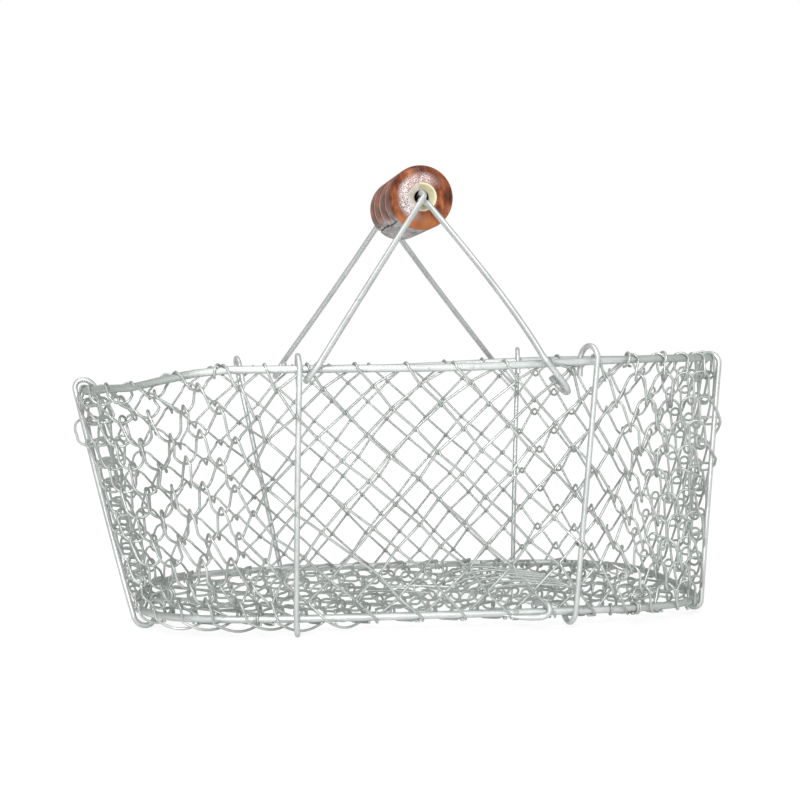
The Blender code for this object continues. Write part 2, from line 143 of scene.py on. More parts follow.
# Fineness
arc_steps = 16
knuckle_steps = 8
quarter_steps = 5
strand_steps = 2
ring_steps = 480
wire_sides = 4

# Places that follow from those above
pin_rise = (ring_wire + mesh_wire) / 2 + touch_gap
link_offset = (mesh_wire + link_gap) / 2
net_reach = rim_height + 2 * pin_rise


# Routes of the rings
def ring_plan(half_length, half_width, powers, shift, turn):
    """Stations from 0 to 1, anticlockwise from the right-hand end, and the plan points there."""
    stations = []
    points = []
    for quarter, power in enumerate(powers):
        angles = numpy.linspace(quarter, quarter + 1, 181) * pi / 2
        along, across = numpy.cos(angles), numpy.sin(angles)
        corner = numpy.column_stack([
            half_length * numpy.copysign(numpy.abs(along) ** (2 / power), along),
            half_width * numpy.copysign(numpy.abs(across) ** (2 / power), across)])
        runs = numpy.linalg.norm(numpy.diff(corner, axis=0), axis=1).cumsum()
        shares = numpy.concatenate([[0.0], runs / runs[-1]])
        stations.append((quarter + shares) / 4)
        points.append(corner)
    points = numpy.concatenate(points)
    turning = numpy.array([[cos(turn), sin(turn)], [-sin(turn), cos(turn)]])
    return numpy.concatenate(stations), points @ turning + (shift, 0)


rim_plan = ring_plan(rim_half_length, rim_half_width, rim_corner_powers, rim_shift, 0)
base_plan = ring_plan(base_half_length, base_half_width, base_corner_powers,
                      base_shift, radians(base_turn_degrees))


def plan_at(plan, station):
    """Plan points of a ring at these stations."""
    stations, points = plan
    place = station % 1.0
    return numpy.column_stack([numpy.interp(place, stations, points[:, axis]) for axis in (0, 1)])


def smooth(share):
    """A soft step from 0 to 1."""
    share = numpy.clip(share, 0, 1)
    return share * share * (3 - 2 * share)


def rim_offset(plan):
    """How far the bent rim stands above or below its own level."""
    x = plan[:, 0] - rim_shift
    dip = numpy.interp(-x, dip_places, dip_depths)
    far_drop = far_left_drop + (far_right_drop - far_left_drop) * smooth((x - far_drop_start) / far_drop_run)
    far_share = smooth((plan[:, 1] + rim_half_width / 2) / rim_half_width)
    rise = (rim_sag + rim_lift) * smooth(x / rim_lift_run) - rim_sag
    return rise - far_drop * far_share - dip


def wall(station, height, depth=0.0):
    """Points of the basket's wall: height above the base ring, depth out from the wall."""
    station, height, depth = numpy.broadcast_arrays(
        numpy.atleast_1d(numpy.asarray(station, float)), height, depth)
    level = (height / rim_height)[:, None]
    step = 0.002

    def between(place):
        return plan_at(base_plan, place) * (1 - level) + plan_at(rim_plan, place) * level

    tangent = between(station + step) - between(station - step)
    tangent /= numpy.linalg.norm(tangent, axis=1)[:, None]
    outward = numpy.column_stack([tangent[:, 1], -tangent[:, 0]])
    rise = rim_offset(plan_at(rim_plan, station)) * numpy.clip(level[:, 0], 0, 1)
    plan = between(station) + outward * depth[:, None]
    return numpy.column_stack([plan, foot_drop + height + rise])


def station_at(plan, x, near):
    """The station on a long side at this x."""
    stations, points = plan
    half = points[:, 1] < 0 if near else points[:, 1] >= 0
    order = numpy.argsort(points[half, 0])
    return float(numpy.interp(x, points[half, 0][order], stations[half][order]))


def end_station(plan, y, left):
    """The station on a short side at this y."""
    stations, points = plan
    half = points[:, 0] < 0 if left else points[:, 0] >= 0
    side = stations[half] if left else (stations[half] + 0.5) % 1.0 - 0.5
    order = numpy.argsort(points[half, 1])
    return float(numpy.interp(y, points[half, 1][order], side[order]))


rim_length = float(numpy.linalg.norm(numpy.diff(rim_plan[1], axis=0), axis=1).sum())
stays = {
    "stay_near_left": (station_at(rim_plan, -0.0723 + rim_shift, True),
                       station_at(base_plan, -0.0742 + rim_shift, True), 0.0012, -0.0012, stay_hook_radius, 0.0, 0.0),
    "stay_near_right": (station_at(rim_plan, 0.0945 + rim_shift, True),
                        station_at(base_plan, 0.0847 + rim_shift, True), 0.0026, -0.0050, stay_hook_radius, 0.0024, -0.0045),
    "stay_far_left": (station_at(rim_plan, -0.0921 + rim_shift, False),
                      station_at(base_plan, -0.0646 + rim_shift, False), 0.0027, 0.0, stay_hook_radius, 0.0, 0.0),
    "stay_far_right": (station_at(rim_plan, 0.1067 + rim_shift, False),
                       station_at(base_plan, 0.0985 + rim_shift, False), 0.0020, 0.0, stay_hook_radius, 0.0, 0.0),
    "stay_left_end": (end_station(rim_plan, 0.0, True), end_station(base_plan, -0.055, True),
                      0.0010, 0.0, stay_hook_radius, 0.0, 0.0),
    "stay_right_end": (end_station(rim_plan, -0.064, False), end_station(base_plan, -0.072, False),
                       -0.0038, 0.0, 0.0040, 0.0, 0.0),
}
stay_crossings = (("stay_near_left", 2.1, 0.0072), ("stay_near_left", 6.3, 0.0072),
                  ("stay_near_right", 3.9, 0.0072), ("stay_near_right", 7.9, 0.0072),
                  ("stay_right_end", 2.5, 0.0068), ("stay_right_end", 3.5, 0.0072),
                  ("stay_right_end", 4.5, 0.0072), ("stay_left_end", 1.3, 0.0052),
                  ("stay_left_end", 2.0, 0.0066), ("stay_left_end", 2.8, 0.0060))


# Materials
def add(tree, kind, settings=None, **inputs):
    """A shader node with these settings and input values."""
    item = tree.nodes.new(kind)
    for key, value in (settings or {}).items():
        setattr(item, key, value)
    for key, value in inputs.items():
        item.inputs[key.replace("_", " ")].default_value = value
    return item


def ramp(tree, source, stops):
    """A colour ramp on a source, through these stops of place and grey level or colour."""
    item = tree.nodes.new("ShaderNodeValToRGB")
    tree.links.new(source, item.inputs["Fac"])
    elements = item.color_ramp.elements
    while len(elements) < len(stops):
        elements.new(0.5)
    for element, (place, colour) in zip(elements, stops):
        element.position = place
        element.color = (*colour, 1) if isinstance(colour, tuple) else (colour, colour, colour, 1)
    return item.outputs["Color"]


def noise(tree, coordinates, scale, detail=3.0, roughness=0.55):
    """Noise of this scale on the coordinates."""
    item = add(tree, "ShaderNodeTexNoise", Scale=scale, Detail=detail, Roughness=roughness)
    tree.links.new(coordinates, item.inputs["Vector"])
    return item.outputs["Fac"]


def mixed(tree, share, first, second, blend="MIX"):
    """A mix of two colours by a share, each a socket, or a number for the share."""
    item = tree.nodes.new("ShaderNodeMix")
    item.data_type = "RGBA"
    item.blend_type = blend
    for socket, value in ((item.inputs[0], share), (item.inputs[6], first), (item.inputs[7], second)):
        if isinstance(value, bpy.types.NodeSocket):
            tree.links.new(value, socket)
        else:
            socket.default_value = value
    return item.outputs[2]


def maths(tree, operation, *values):
    """A maths node on sockets and numbers."""
    item = add(tree, "ShaderNodeMath", {"operation": operation})
    for socket, value in zip(item.inputs, values):
        if isinstance(value, bpy.types.NodeSocket):
            tree.links.new(value, socket)
        else:
            socket.default_value = value
    return item.outputs[0]


def new_material(name):
    """A material, its tree, its shader and its object coordinates."""
    material = bpy.data.materials.new(name)
    material.use_nodes = True
    tree = material.node_tree
    shader = tree.nodes["Principled BSDF"]
    coordinates = tree.nodes.new("ShaderNodeTexCoord").outputs["Object"]
    return material, tree, shader, coordinates


def bumped(tree, shader, height, strength, distance):
    """Surface relief from a height."""
    item = add(tree, "ShaderNodeBump", Strength=strength, Distance=distance)
    tree.links.new(height, item.inputs["Height"])
    tree.links.new(item.outputs["Normal"], shader.inputs["Normal"])


def level(tree, value, low, high):
    """0 below one value, 1 above the other, and a soft step between them."""
    item = add(tree, "ShaderNodeMapRange", {"interpolation_type": "SMOOTHSTEP"}, From_Min=low, From_Max=high)
    tree.links.new(value, item.inputs["Value"])
    return item.outputs["Result"]


def zinc(name, dark, light, stain, end_shade=None, end_shade_left=-1.0):
    """Galvanised wire: clouded zinc with small dark spots and, where asked, painted shade on rougher left and right
    ends.
    """
    material, tree, shader, coordinates = new_material(name)
    clouds = noise(tree, coordinates, 38.0, 3.0)
    grain = noise(tree, coordinates, 700.0, 2.0)
    spots = noise(tree, coordinates, 210.0, 5.0, 0.65)
    tone = mixed(tree, 0.25, ramp(tree, clouds, ((0.34, dark), (0.6, light))),
                 ramp(tree, grain, ((0.3, dark), (0.7, light))))
    tone = mixed(tree, ramp(tree, spots, ((0.62, 0.0), (0.76, 0.7))), tone, (*stain, 1))
    roughness = ramp(tree, clouds, ((0.3, 0.52), (0.7, 0.44)))
    # Where asked, the ends are darkened as painted shade where the rings turn away from the light, and made rougher.
    if end_shade:
        place = add(tree, "ShaderNodeSeparateXYZ")
        tree.links.new(coordinates, place.inputs[0])
        edge = maths(tree, "ADD", place.outputs["X"], maths(tree, "MULTIPLY", clouds, 0.05))
        shine = maths(tree, "MULTIPLY", level(tree, edge, end_shade_left, end_shade_left + 0.025),
                      level(tree, edge, 0.150, 0.125))
        tone = mixed(tree, shine, mixed(tree, 0.6, tone, (*end_shade, 1)), tone)
        roughness = mixed(tree, shine, (0.6, 0.6, 0.6, 1), roughness)
    tree.links.new(tone, shader.inputs["Base Color"])
    tree.links.new(roughness, shader.inputs["Roughness"])
    shader.inputs["Metallic"].default_value = zinc_metallic
    bumped(tree, shader, mixed(tree, 0.5, clouds, grain), 0.05, 0.0002)
    return material


def varnish(name):
    """Turned wood: red-brown varnish, crazed round the bore, an unvarnished countersink and a grey underside, with
    painted highlight on the crazing and the countersink's left side, painted reflection in the grooves and on the
    underside, and painted shade in the bore.
    """
    material, tree, shader, coordinates = new_material(name)
    place = add(tree, "ShaderNodeSeparateXYZ")
    tree.links.new(coordinates, place.inputs[0])
    x, along, z = place.outputs
    radius = maths(tree, "SQRT", maths(tree, "ADD", maths(tree, "MULTIPLY", x, x), maths(tree, "MULTIPLY", z, z)))
    on_end = level(tree, maths(tree, "ABSOLUTE", along), grip_length / 2 - grip_dome, grip_length / 2 - grip_dome + 0.002)

    stretched = add(tree, "ShaderNodeMapping", Scale=(1.0, 0.12, 0.35), Rotation=(0, 0.5, 0))
    tree.links.new(coordinates, stretched.inputs["Vector"])
    streaks = noise(tree, stretched.outputs["Vector"], 330.0, 5.0, 0.6)
    blotches = noise(tree, coordinates, 95.0, 3.0, 0.5)
    wood = ramp(tree, mixed(tree, 0.45, streaks, blotches), (
        (0.36, (0.040, 0.010, 0.007)), (0.46, (0.120, 0.032, 0.015)),
        (0.55, (0.240, 0.068, 0.024)), (0.66, (0.420, 0.150, 0.062))))

    crazing = add(tree, "ShaderNodeTexVoronoi", {"feature": "DISTANCE_TO_EDGE"}, Scale=900.0)
    tree.links.new(coordinates, crazing.inputs["Vector"])
    flakes = level(tree, maths(tree, "ADD", crazing.outputs["Distance"], maths(tree, "MULTIPLY", streaks, 0.5)),
                   0.42, 0.25)
    # Whitish flakes round the bore, strongest on the lit left and upper side: real crazing of the varnish with a
    # painted highlight.
    lit_side = maths(tree, "DIVIDE", maths(tree, "SUBTRACT", maths(tree, "MULTIPLY", z, 0.55), x), radius)
    ring = maths(tree, "MULTIPLY", level(tree, radius, 0.0165, 0.0115), level(tree, lit_side, -0.75, 0.5))
    flaked = maths(tree, "MULTIPLY", on_end, maths(tree, "ADD", flakes, 0.15))
    crazed_highlight = maths(tree, "MULTIPLY", ring, flaked)
    # The painted highlight's whitish colour
    pale = (0.68, 0.62, 0.61, 1)
    warm = maths(tree, "MULTIPLY", level(tree, z, -0.006, -0.016), maths(tree, "MULTIPLY", on_end, 0.55))
    colour = mixed(tree, crazed_highlight, mixed(tree, warm, wood, (0.60, 0.21, 0.07, 1)), pale)

    # Grey along the underside of the flank: painted reflection.
    underneath = maths(tree, "ADD", maths(tree, "DIVIDE", z, -grip_radius), maths(tree, "MULTIPLY", streaks, 0.3))
    grey = maths(tree, "MULTIPLY", level(tree, underneath, 0.62, 0.86), maths(tree, "SUBTRACT", 1.0, on_end))
    # Pinkish grey streaks in the grooves of the flank: painted reflection.
    turned = maths(tree, "MULTIPLY", level(tree, radius, grip_radius - 0.0003, grip_radius - 0.0008),
                   maths(tree, "SUBTRACT", 1.0, on_end))
    colour = mixed(tree, maths(tree, "MULTIPLY", turned, streaks), colour, (0.62, 0.47, 0.42, 1))
    underside_reflection = ramp(tree, streaks, ((0.35, (0.26, 0.24, 0.24)), (0.6, (0.52, 0.51, 0.51))))
    colour = mixed(tree, maths(tree, "MULTIPLY", grey, 0.9), colour, underside_reflection)

    cream = ramp(tree, blotches, ((0.35, (0.42, 0.38, 0.24)), (0.65, (0.56, 0.53, 0.36))))
    sunk = maths(tree, "MULTIPLY", level(tree, radius, countersink_radius + 0.0009, countersink_radius + 0.0003), on_end)
    west = maths(tree, "DIVIDE", x, radius)
    # Whitish flakes on the countersink's left side: painted highlight.
    countersink_highlight = maths(tree, "MULTIPLY", maths(tree, "ADD", flakes, 0.45), level(tree, west, -0.15, -0.55))
    colour = mixed(tree, sunk, colour, mixed(tree, countersink_highlight, cream, pale))
    lip = maths(tree, "MULTIPLY", level(tree, radius, countersink_radius - 0.0004, countersink_radius),
                level(tree, radius, countersink_radius + 0.0010, countersink_radius + 0.0004))
    lip = maths(tree, "MULTIPLY", lip, level(tree, west, -0.5, 0.0))
    colour = mixed(tree, maths(tree, "MULTIPLY", lip, on_end), colour, (0.76, 0.68, 0.46, 1))
    # Near black inside the bore: painted shade in the hole.
    colour = mixed(tree, level(tree, radius, bore_radius + 0.0006, bore_radius + 0.0002), colour,
                   (0.012, 0.011, 0.010, 1))
    crack = add(tree, "ShaderNodeAttribute", {"attribute_name": "crack"})
    colour = mixed(tree, crack.outputs["Fac"], colour, (0.02, 0.018, 0.018, 1))

    tree.links.new(colour, shader.inputs["Base Color"])
    matt = maths(tree, "MAXIMUM", maths(tree, "MAXIMUM", grey, sunk), maths(tree, "MULTIPLY", crazed_highlight, 0.6))
    tree.links.new(ramp(tree, matt, ((0.0, 0.34), (1.0, 0.75))), shader.inputs["Roughness"])
    tree.links.new(maths(tree, "MULTIPLY", on_end, 0.12), shader.inputs["Coat Weight"])
    shader.inputs["Coat Roughness"].default_value = 0.16
    shader.inputs["Specular IOR Level"].default_value = 0.15
    bumped(tree, shader, mixed(tree, crazed_highlight, streaks, crazing.outputs["Distance"]), 0.25, 0.0004)
    return material


light_zinc, dark_zinc, zinc_stain = (0.62, 0.65, 0.635), (0.48, 0.505, 0.495), (0.20, 0.215, 0.21)
looks = {
    "galvanised_steel": zinc("basket_zinc", dark_zinc, light_zinc, zinc_stain),
    "galvanised_mesh": zinc("netting_zinc", (0.32, 0.345, 0.33), (0.52, 0.55, 0.53), (0.12, 0.13, 0.12)),
    "varnished_wood": varnish("grip_varnish"),
}
# Colour of the painted shade at the ends of the rim and the base ring
end_shade_zinc = (0.33, 0.375, 0.35)
rim_look = zinc("rim_zinc", dark_zinc, light_zinc, zinc_stain, end_shade_zinc, -0.110)
base_look = zinc("base_zinc", dark_zinc, light_zinc, zinc_stain, end_shade_zinc)


# Pieces
def finished(item, slot, body, nodes=(), look=None):
    """Give a piece its material, its body and the CAD nodes that it stands for."""
    item.data.materials.append(look or looks[slot])
    bpy.context.scene.collection.objects.link(item)
    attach(item, body)
    if nodes:
        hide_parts(*nodes)
    return item


def wire(name, points, diameter, slot, body, nodes=(), closed=False, shares=None, look=None):
    """A round wire along the points; shares are its thickness at each point."""
    curve = bpy.data.curves.new(name, "CURVE")
    curve.dimensions = "3D"
    curve.bevel_depth = diameter / 2
    curve.bevel_resolution = wire_sides
    curve.use_fill_caps = not closed
    curve.twist_mode = "MINIMUM"
    spline = curve.splines.new("POLY")
    spline.points.add(len(points) - 1)
    for index, (knot, point) in enumerate(zip(spline.points, points)):
        knot.co = (*point, 1.0)
        knot.radius = shares[index] if shares is not None else 1.0
    spline.use_cyclic_u = closed
    return finished(bpy.data.objects.new(name, curve), slot, body, nodes, look)


def bent(corners, spread, count=60):
    """A smooth route of count points through the corners."""
    corners = numpy.array(corners, float)
    runs = numpy.linalg.norm(numpy.diff(corners, axis=0), axis=1)
    places = numpy.concatenate([[0.0], runs.cumsum()])
    samples = numpy.linspace(0, places[-1], count * 4)
    route = numpy.column_stack([numpy.interp(samples, places, corners[:, axis]) for axis in range(3)])
    window = max(1, int(spread / places[-1] * len(samples)))
    kernel = numpy.hanning(2 * window + 3)[1:-1]
    kernel /= kernel.sum()
    padded = numpy.concatenate([
        2 * route[0] - route[window:0:-1], route, 2 * route[-1] - route[-2:-window - 2:-1]])
    route = numpy.column_stack([numpy.convolve(padded[:, axis], kernel, "valid") for axis in range(3)])
    return route[numpy.linspace(0, len(route) - 1, count).astype(int)]


# Rings
def make_rings():
    """The rim and the base ring."""
    stations = numpy.arange(ring_steps) / ring_steps
    wire("rim", wall(stations, rim_height), ring_wire, "galvanised_steel", "basket",
         ("top_rim",), closed=True, look=rim_look)
    wire("base", wall(stations, 0.0), ring_wire, "galvanised_steel", "basket",
         ("base_ring",), closed=True, look=base_look)


def make_lap():
    """The base ring's free end: it runs under the ring, bends up over it and ends inside."""
    places = ((0.7900, -0.0010, 0.0016, 0.30), (0.7930, -0.0014, 0.0022, 0.45), (0.7960, -0.0019, 0.0026, 0.65),
              (0.8000, -0.0024, 0.0029, 0.9), (0.8060, -0.0027, 0.0030, 1.0), (0.8125, -0.0026, 0.0032, 1.0),
              (0.8155, -0.0012, 0.0040, 1.0), (0.8166, 0.0012, 0.0044, 1.0), (0.8163, 0.0036, 0.0030, 1.0),
              (0.8150, 0.0050, 0.0002, 1.0), (0.8128, 0.0050, -0.0032, 1.0), (0.8105, 0.0038, -0.0064, 1.0))
    station, height, depth, share = numpy.array(places).T
    route = bent(wall(station, height, depth), 0.004, 70)
    shares = numpy.interp(numpy.linspace(0, 1, len(route)), numpy.linspace(0, 1, len(share)), share)
    wire("base_lap", route, lap_wire, "galvanised_steel", "basket", shares=shares)


def binding(name, station, height, radius, turns, pitch, lean=0.0, thickness=mesh_wire):
    """A few turns of thin wire round a ring."""
    turn = numpy.linspace(0, 2 * pi * turns, int(24 * turns) + 1)
    along = (turn / (2 * pi) - turns / 2) * pitch + lean * numpy.sin(turn)
    route = wall(station + along / rim_length, height - radius * numpy.cos(turn), radius * numpy.sin(turn))
    wire(name, route, thickness, "galvanised_mesh", "basket")


def make_bindings():
    """Thin wire bound round the base ring at its lap and at three other places."""
    round_ring = (ring_wire + mesh_wire) / 2
    binding("lap_binding", 0.7975, -0.0012, 0.0030, 3, 0.0013, thickness=binding_wire)
    binding("band_left", 0.6481, 0.0, round_ring, 2, mesh_wire)
    binding("strand_right", 0.8534, 0.0, round_ring, 1, 0.0006)
    binding("knot_right", 0.8691, 0.0, round_ring + 0.0001, 2, 0.0016, lean=0.0014)
    binding("rim_wrap_1", 0.8583, rim_height, 0.0040, 1, 0.0050)
    binding("rim_wrap_2", 0.8819, rim_height, 0.0038, 1, 0.0040)
    binding("rim_wrap_3", 0.9733, rim_height, 0.0038, 1, 0.0040)
    binding("rim_wrap_4", 0.6415, rim_height, 0.0036, 1, 0.0050)


# Side netting
def endness(station):
    """0 along the two long sides, 1 round the two ends."""
    x = plan_at(rim_plan, station)[:, 0]
    return smooth((numpy.abs(x) - end_start) / end_run)


def nearness(station):
    """1 along the near long side, 0 along the far one."""
    return smooth((-plan_at(rim_plan, station)[:, 1] / rim_half_width + 1) / 2)


def ripple(column, line):
    """An uneven drift of the links, from -1 to 1."""
    return (numpy.sin(2.7 * column + 1.3 * line) + numpy.sin(4.1 * column - 2.1 * line)) / 2


def hooked(column, line):
    """1 at the link that the right bail's near hook has pushed up and aside."""
    return (line == 1) * (numpy.abs(column % column_count - hook_link) < 0.1)


def net_station(column, line):
    """Where a link of the netting lies: on the near side its lines lean as they fall."""
    turned = column % column_count
    station = (column - turned) / column_count + numpy.interp(turned, bunch_columns, bunch_places)
    lean = near_lean_shares[line] + near_drift_shares[line] * numpy.clip(turned - 28, -1, 1)
    lean = lean - corner_lean_share * smooth((26 - turned) / 4) * smooth(1 - line / 3)
    near = nearness(station)
    shift = near * lean + (1 - near) * far_lean_shares[line]
    shift = shift + 0.045 * ripple(1.3 * column, 1.7 * line)
    return station + shift * column_pitch_share + hooked(column, line) * hook_push_shift / rim_length


def slackness(column):
    """1 where the netting's bottom loops hang long and slack under the base ring."""
    turned = column % column_count
    return smooth((turned - 20.5) / 2) * smooth((28.4 - turned) / 1.2)


def net_height(column, line):
    """The height of a link above the base ring."""
    near = nearness(net_station(column, line))
    turned = column % column_count
    tilt = numpy.clip((turned - 28.3) / 1.8, -1.3, 1.0)
    free = min(line / 2, 1) * min((side_rows - line) / 2, 1)
    height = rim_height + pin_rise - net_reach * line / side_rows
    height = height + free * (near * 0.0030 * tilt + wander * 2 * ripple(column, line))
    height = height + near * smooth((26.3 - turned) / 2.3) * corner_rises[line]
    height = height - free * near * smooth((turned - 32.5) / 2) * right_drop
    height = height + hooked(column, line) * hook_push
    if line == side_rows:
        height = height - slackness(column) * loop_slack * (0.75 + 0.35 * ripple(3.7 * column, 0))
    return height


def net_link(column, line, side):
    """Station, height, bend radius and half the run of the knuckles at a line of links.

    The side is 1 for the tops of the spiral below the line, and -1 for the bottoms of the one above.
    """
    station = net_station(column, line)
    ends = endness(station)
    end_half_depth = numpy.where(plan_at(rim_plan, station)[:, 0] < 0, left_half_depth, right_half_depth)
    radius = net_half_depth + (end_half_depth - net_half_depth) * ends
    run = (side_bend_run + (end_bend_run - side_bend_run) * ends) * radius
    height = net_height(column, line)
    if line in (0, side_rows):
        radius = numpy.full_like(station, ring_knuckle)
    else:
        height = height + side * link_offset + max(side, 0) * ends * end_overlap
    if line == side_rows:
        slack = slackness(column)
        station = station + slack * loop_shift / rim_length
        run = run + slack * (loop_run - run)
        radius = radius + slack * (end_half_depth - radius)
    return station, height, radius, run / rim_length


def strands(start, end, side, climb):
    """Strands from one line of knuckles to the next: stations, heights and depths."""
    turn = numpy.linspace(0, pi / 2, quarter_steps + 1)
    share = numpy.linspace(0, 1, strand_steps + 2)[1:-1]
    (station, height, radius, run), (far_station, far_height, far_radius, far_run) = (
        [value[:, None] for value in knuckle] for knuckle in (start, end))
    leave, arrive = station + run, far_station - far_run
    low, high = height + climb * radius, far_height - climb * far_radius
    back = turn[::-1][:-1]
    stations = [station + run * turn / (pi / 2), leave + (arrive - leave) * share,
                far_station - far_run * back / (pi / 2)]
    heights = [low - climb * radius * numpy.cos(turn), low + (high - low) * share,
               high + climb * far_radius * numpy.cos(back)]
    depths = [radius * numpy.sin(turn), radius + (far_radius - radius) * share,
              far_radius * numpy.sin(back)]
    return [numpy.concatenate(blocks, axis=1) for blocks in (stations, heights, [
        side * block for block in depths])]


def stay_place(name, line):
    """Where a stay crosses a line of links."""
    top, foot, rise = stays[name][:3]
    height = rim_height + pin_rise - net_reach * line / side_rows
    return foot + (top - foot) * height / rim_height, height


def lifted(station, height, depth):
    """Depths of the outer strands, raised over the stays that they cross outside."""
    for name, line, lift in stay_crossings:
        place, level = stay_place(name, line)
        apart = (station - place + 0.5) % 1.0 - 0.5
        away = numpy.hypot(apart * rim_length, height - level) / crossing_reach
        depth = depth + (depth > 0) * lift * numpy.exp(-away ** 2)
    return depth


def side_route(row):
    """The route of one spiral of the side: outer strands fall to the right, inner strands climb."""
    column = numpy.arange(column_count) + row / 2
    top = net_link(column, row, 1)
    low = net_link(column + 0.5, row + 1, -1)
    following = net_link(column + 1, row, 1)
    outer, inner = strands(top, low, 1, -1), strands(low, following, -1, 1)
    station, height, depth = [numpy.concatenate(pair, axis=1).ravel() for pair in zip(outer, inner)]
    return wall(station, height, lifted(station, height, depth))


def make_side_netting():
    """The spirals of the side, each laced into the one above it."""
    for row in range(side_rows):
        nodes = ["side_spiral_%d" % (index + 1) for index in range(7)
                 if round(index * (side_rows - 1) / 6) == row]
        wire("side_netting_%02d" % (row + 1), side_route(row), mesh_wire, "galvanised_mesh", "basket",
             nodes, closed=True)


def curl(name, station, height, depth, width, tall, turns, closing, lean=0.0, tail=0.0):
    """A wire end rolled up outside the netting, with a short tail that runs up into it."""
    turn = numpy.linspace(0, 2 * pi * turns, int(28 * turns) + 1)
    size = 1 - closing * turn / turn[-1]
    along = width / 2 * size * numpy.sin(turn) + lean * numpy.cos(turn)
    up = tall / 2 * size * numpy.cos(turn)
    out = depth + mesh_wire * turn / (2 * pi)
    if tail:
        along = numpy.concatenate([[along[0] - tail], along])
        up = numpy.concatenate([[up[0] + tail / 2], up])
        out = numpy.concatenate([[0.0], out])
    route = wall(station + along / rim_length, height + up, out)
    wire(name, route, mesh_wire, "galvanised_mesh", "basket")


def make_curls():
    """Rolled-up wire ends along the netting's seams, left and right."""
    curl("curl_left_1", 0.5813, 0.0220, 0.0040, 0.0036, 0.0060, 1.2, 0.1, tail=0.005)
    curl("curl_left_2", 0.5992, 0.0152, 0.0040, 0.0082, 0.0082, 1.4, 0.2, tail=0.004)
    curl("curl_left_3", 0.5911, 0.0088, 0.0045, 0.0100, 0.0062, 1.2, 0.1, tail=0.004)
    curl("curl_left_4", 0.5680, 0.0040, 0.0040, 0.0060, 0.0060, 1.2, 0.2, tail=0.004)
    curl("curl_right_1", 0.8830, 0.0364, 0.0040, 0.0042, 0.0072, 1.1, 0.3, lean=0.0008, tail=0.005)
    curl("curl_right_2", 0.8579, 0.0200, 0.0038, 0.0080, 0.0070, 1.7, 0.6, tail=0.004)
    curl("curl_right_3", 0.9007, 0.0460, 0.0040, 0.0060, 0.0066, 1.3, 0.3, tail=0.005)
    curl("curl_right_4", 0.9130, 0.0700, 0.0040, 0.0056, 0.0070, 1.2, 0.2, tail=0.005)
    curl("curl_right_5", 0.9080, 0.0950, 0.0040, 0.0060, 0.0062, 1.2, 0.2, tail=0.005)
    curl("curl_right_6", 0.8740, 0.0064, -0.0060, 0.0165, 0.0052, 3.0, 0.35, lean=0.0014)


# Floor netting
def knuckled(reach, half_depth):
    """One turn of a flattened spiral: run from 0 to 1, level from 1 down to -1 and back, and depth."""
    straight = reach - 2 * half_depth
    turn = 2 * straight + 2 * pi * half_depth
    bends = numpy.linspace(0, 1, knuckle_steps + 1)
    strand = numpy.linspace(0, 1, strand_steps + 2)[1:-1]
    level, depth, run = [], [], []

    def extend(levels, depths, runs):
        level.extend(levels)
        depth.extend(depths)
        run.extend(runs)

    quarter = pi * half_depth / 2
    half_bend = bends[:knuckle_steps // 2 + 1] * pi
    extend(straight / 2 + half_depth * numpy.cos(half_bend), half_depth * numpy.sin(half_bend),
           half_depth * half_bend)
    extend(straight / 2 - straight * strand, half_depth + 0 * strand, quarter + straight * strand)
    extend(-straight / 2 - half_depth * numpy.sin(bends * pi), half_depth * numpy.cos(bends * pi),
           quarter + straight + half_depth * bends * pi)
    extend(-straight / 2 + straight * strand, -half_depth + 0 * strand,
           3 * quarter + straight + straight * strand)
    last = half_bend[:-1]
    extend(straight / 2 + half_depth * numpy.sin(last), -half_depth * numpy.cos(last),
           3 * quarter + 2 * straight + half_depth * last)
    return numpy.array(run) / turn, numpy.array(level) / (reach / 2), numpy.array(depth) / half_depth


def floor_hook(x, edge, outward):
    """The end of a floor spiral, tucked under the base ring from inside."""
    turn = numpy.linspace(0.15 * pi, -0.7 * pi, 12)
    radius = (ring_wire + mesh_wire) / 2 + touch_gap
    along = edge - outward * radius * numpy.cos(turn)
    height = foot_drop + radius * numpy.sin(turn)
    return numpy.column_stack([numpy.full_like(along, x), along, height])


def floor_route(row):
    """The route of one spiral of the floor, from the near side to the far side."""
    span = 2 * (base_half_length - 0.0068)
    spacing = span / floor_rows
    x = base_shift - span / 2 + (row + 0.5) * spacing
    near = wall(station_at(base_plan, x, True), 0.0)[0]
    far = wall(station_at(base_plan, x, False), 0.0)[0]
    run, level, side = knuckled(spacing + 2 * link_offset, floor_half_depth)
    first = int(numpy.floor(near[1] / floor_pitch)) - 1
    turns = int(numpy.ceil((far[1] - near[1]) / floor_pitch)) + 3
    along = (numpy.arange(turns)[:, None] + first + row / 2 % 1.0 + run[None, :]).ravel() * floor_pitch
    level = numpy.tile(level, turns)
    side = numpy.tile(side, turns)
    inside = (along > near[1] + 0.005) & (along < far[1] - 0.005)
    along, level, side = along[inside], level[inside], side[inside]
    across = x - level * (spacing / 2 + link_offset)
    middle = 1 - ((along - near[1]) / (far[1] - near[1]) * 2 - 1) ** 2
    drift = 0.0013 * numpy.sin(90 * along + 1.7 * row) + 0.0013 * numpy.sin(141 * across + 161 * along)
    across = across + 0.0016 * middle * numpy.sin(230 * along + 2.3 * row)
    height = foot_drop + side * floor_half_depth - 0.0015 * middle + drift * middle
    route = numpy.column_stack([across, along, height])
    near_hook = floor_hook(across[0], near[1], -1)[::-1]
    far_hook = floor_hook(across[-1], far[1], 1)
    return numpy.concatenate([near_hook, route, far_hook])


def make_floor_netting():
    """The spirals of the floor."""
    for row in range(floor_rows):
        nodes = ["floor_spiral_%02d" % (index + 1) for index in range(16)
                 if round(index * (floor_rows - 1) / 15) == row]
        wire("floor_netting_%02d" % (row + 1), floor_route(row), mesh_wire, "galvanised_mesh", "basket",
             nodes)


